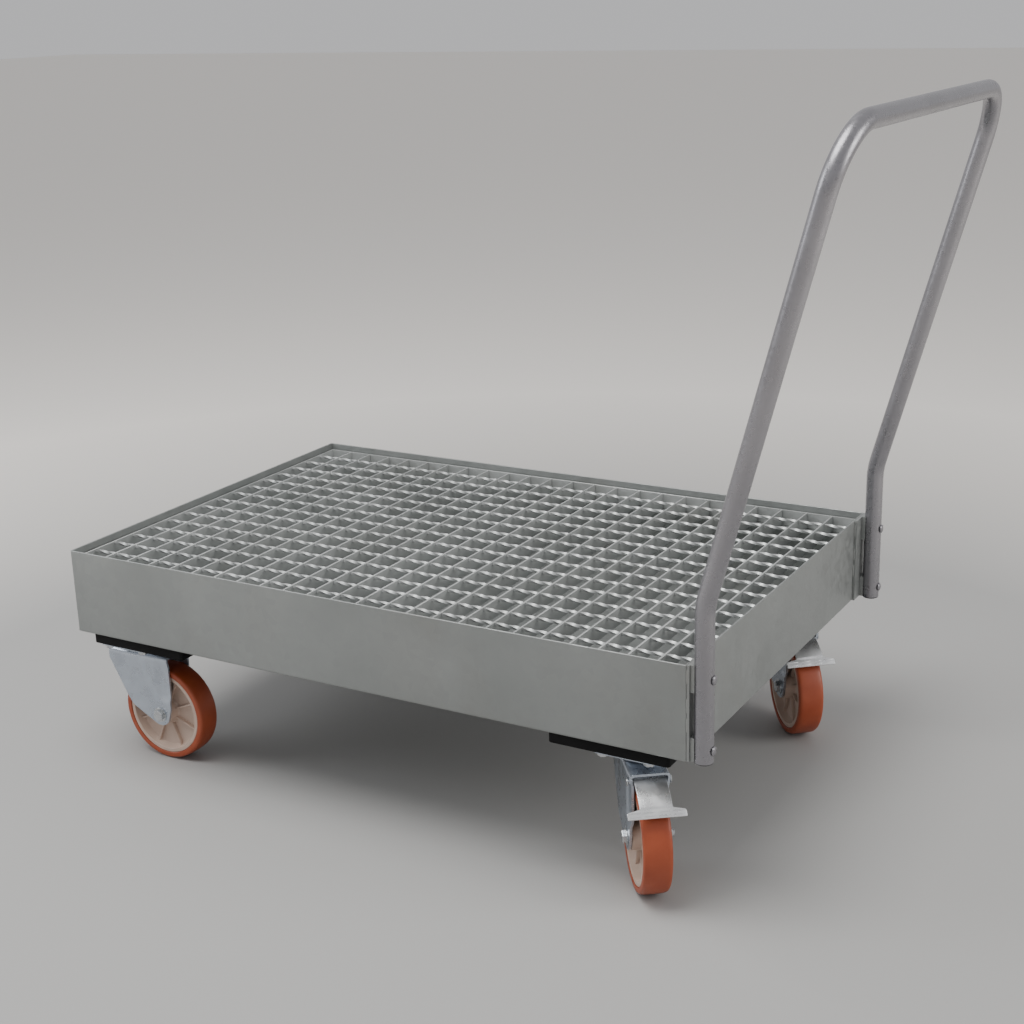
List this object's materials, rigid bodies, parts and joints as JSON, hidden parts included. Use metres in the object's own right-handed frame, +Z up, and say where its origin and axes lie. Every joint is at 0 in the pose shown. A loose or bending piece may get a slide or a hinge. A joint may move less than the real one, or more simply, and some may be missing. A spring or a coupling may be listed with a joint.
{
  "type": "drum dolly",
  "caption": "Wheeled galvanised spill tray with a lift-out grating deck, swivel castors, foot brakes and a tubular push handle, for holding and moving drums over a sump.",
  "frame": {"origin": "centre of the assembly's bounding box in plan, on the floor, with the castors as they stand at rest", "axes": "+X from the free end to the push-handle end, +Y from the front long side to the rear long side, +Z up"},
  "size_m": [1.4222, 0.8498, 1.1819],
  "materials": {
    "galvanised_steel": "dull hot-dip galvanised",
    "handle_steel": "satin zinc",
    "zinc_plated_steel": "bright blue-white zinc plate",
    "black_spacer": "matte black",
    "wheel_core": "moulded pale grey-beige",
    "tread": "orange-brown polyurethane",
    "brake_shoe": "black moulded"
  },
  "bodies": {
    "root": {"tray": "galvanised_steel", "tray_end_free": "galvanised_steel", "tray_end_handle": "galvanised_steel", "ledge_front": "galvanised_steel", "ledge_rear": "galvanised_steel", "pad_front_left": "black_spacer", "pad_rear_left": "black_spacer", "pad_front_right": "black_spacer", "pad_rear_right": "black_spacer", "castor_plate_front_left": "zinc_plated_steel", "ball_race_front_left": "zinc_plated_steel", "king_bolt_front_left": "zinc_plated_steel", "castor_plate_rear_left": "zinc_plated_steel", "ball_race_rear_left": "zinc_plated_steel", "king_bolt_rear_left": "zinc_plated_steel", "castor_plate_front_right": "zinc_plated_steel", "ball_race_front_right": "zinc_plated_steel", "king_bolt_front_right": "zinc_plated_steel", "castor_plate_rear_right": "zinc_plated_steel", "ball_race_rear_right": "zinc_plated_steel", "king_bolt_rear_right": "zinc_plated_steel", "handle_tube": "handle_steel", "handle_bracket_front": "galvanised_steel", "handle_bracket_rear": "galvanised_steel", "handle_bolt_front_lower": "handle_steel", "handle_bolt_front_upper": "handle_steel", "handle_bolt_rear_lower": "handle_steel", "handle_bolt_rear_upper": "handle_steel"},
    "deck": {"grating": "galvanised_steel"},
    "swivel_front_left": {"fork_front_left": "zinc_plated_steel", "axle_bolt_front_left": "zinc_plated_steel", "axle_nut_front_left": "zinc_plated_steel", "axle_sleeve_front_left": "zinc_plated_steel"},
    "wheel_front_left": {"wheel_core_front_left": "wheel_core", "tread_front_left": "tread"},
    "swivel_rear_left": {"fork_rear_left": "zinc_plated_steel", "axle_bolt_rear_left": "zinc_plated_steel", "axle_nut_rear_left": "zinc_plated_steel", "axle_sleeve_rear_left": "zinc_plated_steel"},
    "wheel_rear_left": {"wheel_core_rear_left": "wheel_core", "tread_rear_left": "tread"},
    "swivel_front_right": {"fork_front_right": "zinc_plated_steel", "axle_bolt_front_right": "zinc_plated_steel", "axle_nut_front_right": "zinc_plated_steel", "axle_sleeve_front_right": "zinc_plated_steel", "brake_pin_front_right": "zinc_plated_steel"},
    "wheel_front_right": {"wheel_core_front_right": "wheel_core", "tread_front_right": "tread"},
    "brake_front_right": {"brake_pedal_front_right": "zinc_plated_steel", "brake_shoe_front_right": "brake_shoe"},
    "swivel_rear_right": {"fork_rear_right": "zinc_plated_steel", "axle_bolt_rear_right": "zinc_plated_steel", "axle_nut_rear_right": "zinc_plated_steel", "axle_sleeve_rear_right": "zinc_plated_steel", "brake_pin_rear_right": "zinc_plated_steel"},
    "wheel_rear_right": {"wheel_core_rear_right": "wheel_core", "tread_rear_right": "tread"},
    "brake_rear_right": {"brake_pedal_rear_right": "zinc_plated_steel", "brake_shoe_rear_right": "brake_shoe"}
  },
  "joints": [
    {"name": "deck_lift", "type": "slide", "parent": "root", "child": "deck", "axis": [0, 0, 1], "range_m": [0, 0.2]},
    {"name": "swivel_turn_front_left", "type": "hinge", "parent": "root", "child": "swivel_front_left", "pos_m": [-0.62613, -0.29514, 0.2], "axis": [0, 0, 1], "continuous": true},
    {"name": "wheel_spin_front_left", "type": "hinge", "parent": "swivel_front_left", "child": "wheel_front_left", "pos_m": [-0.57913, -0.29514, 0.09], "axis": [0, 1, 0], "continuous": true},
    {"name": "swivel_turn_rear_left", "type": "hinge", "parent": "root", "child": "swivel_rear_left", "pos_m": [-0.62613, 0.34486, 0.2], "axis": [0, 0, 1], "continuous": true},
    {"name": "wheel_spin_rear_left", "type": "hinge", "parent": "swivel_rear_left", "child": "wheel_rear_left", "pos_m": [-0.57913, 0.34486, 0.09], "axis": [0, 1, 0], "continuous": true},
    {"name": "swivel_turn_front_right", "type": "hinge", "parent": "root", "child": "swivel_front_right", "pos_m": [0.37687, -0.29514, 0.2], "axis": [0, 0, 1], "continuous": true},
    {"name": "wheel_spin_front_right", "type": "hinge", "parent": "swivel_front_right", "child": "wheel_front_right", "pos_m": [0.40516, -0.33268, 0.09], "axis": [0.7986, 0.6018, 0], "continuous": true},
    {"name": "brake_press_front_right", "type": "hinge", "parent": "swivel_front_right", "child": "brake_front_right", "pos_m": [0.41419, -0.34466, 0.19], "axis": [0.7986, 0.6018, 0], "range_deg": [0, 9]},
    {"name": "swivel_turn_rear_right", "type": "hinge", "parent": "root", "child": "swivel_rear_right", "pos_m": [0.37687, 0.34486, 0.2], "axis": [0, 0, 1], "continuous": true},
    {"name": "wheel_spin_rear_right", "type": "hinge", "parent": "swivel_rear_right", "child": "wheel_rear_right", "pos_m": [0.40708, 0.30885, 0.09], "axis": [0.766, 0.6428, 0], "continuous": true},
    {"name": "brake_press_rear_right", "type": "hinge", "parent": "swivel_rear_right", "child": "brake_rear_right", "pos_m": [0.41673, 0.29736, 0.19], "axis": [0.766, 0.6428, 0], "range_deg": [0, 9]}
  ]
}
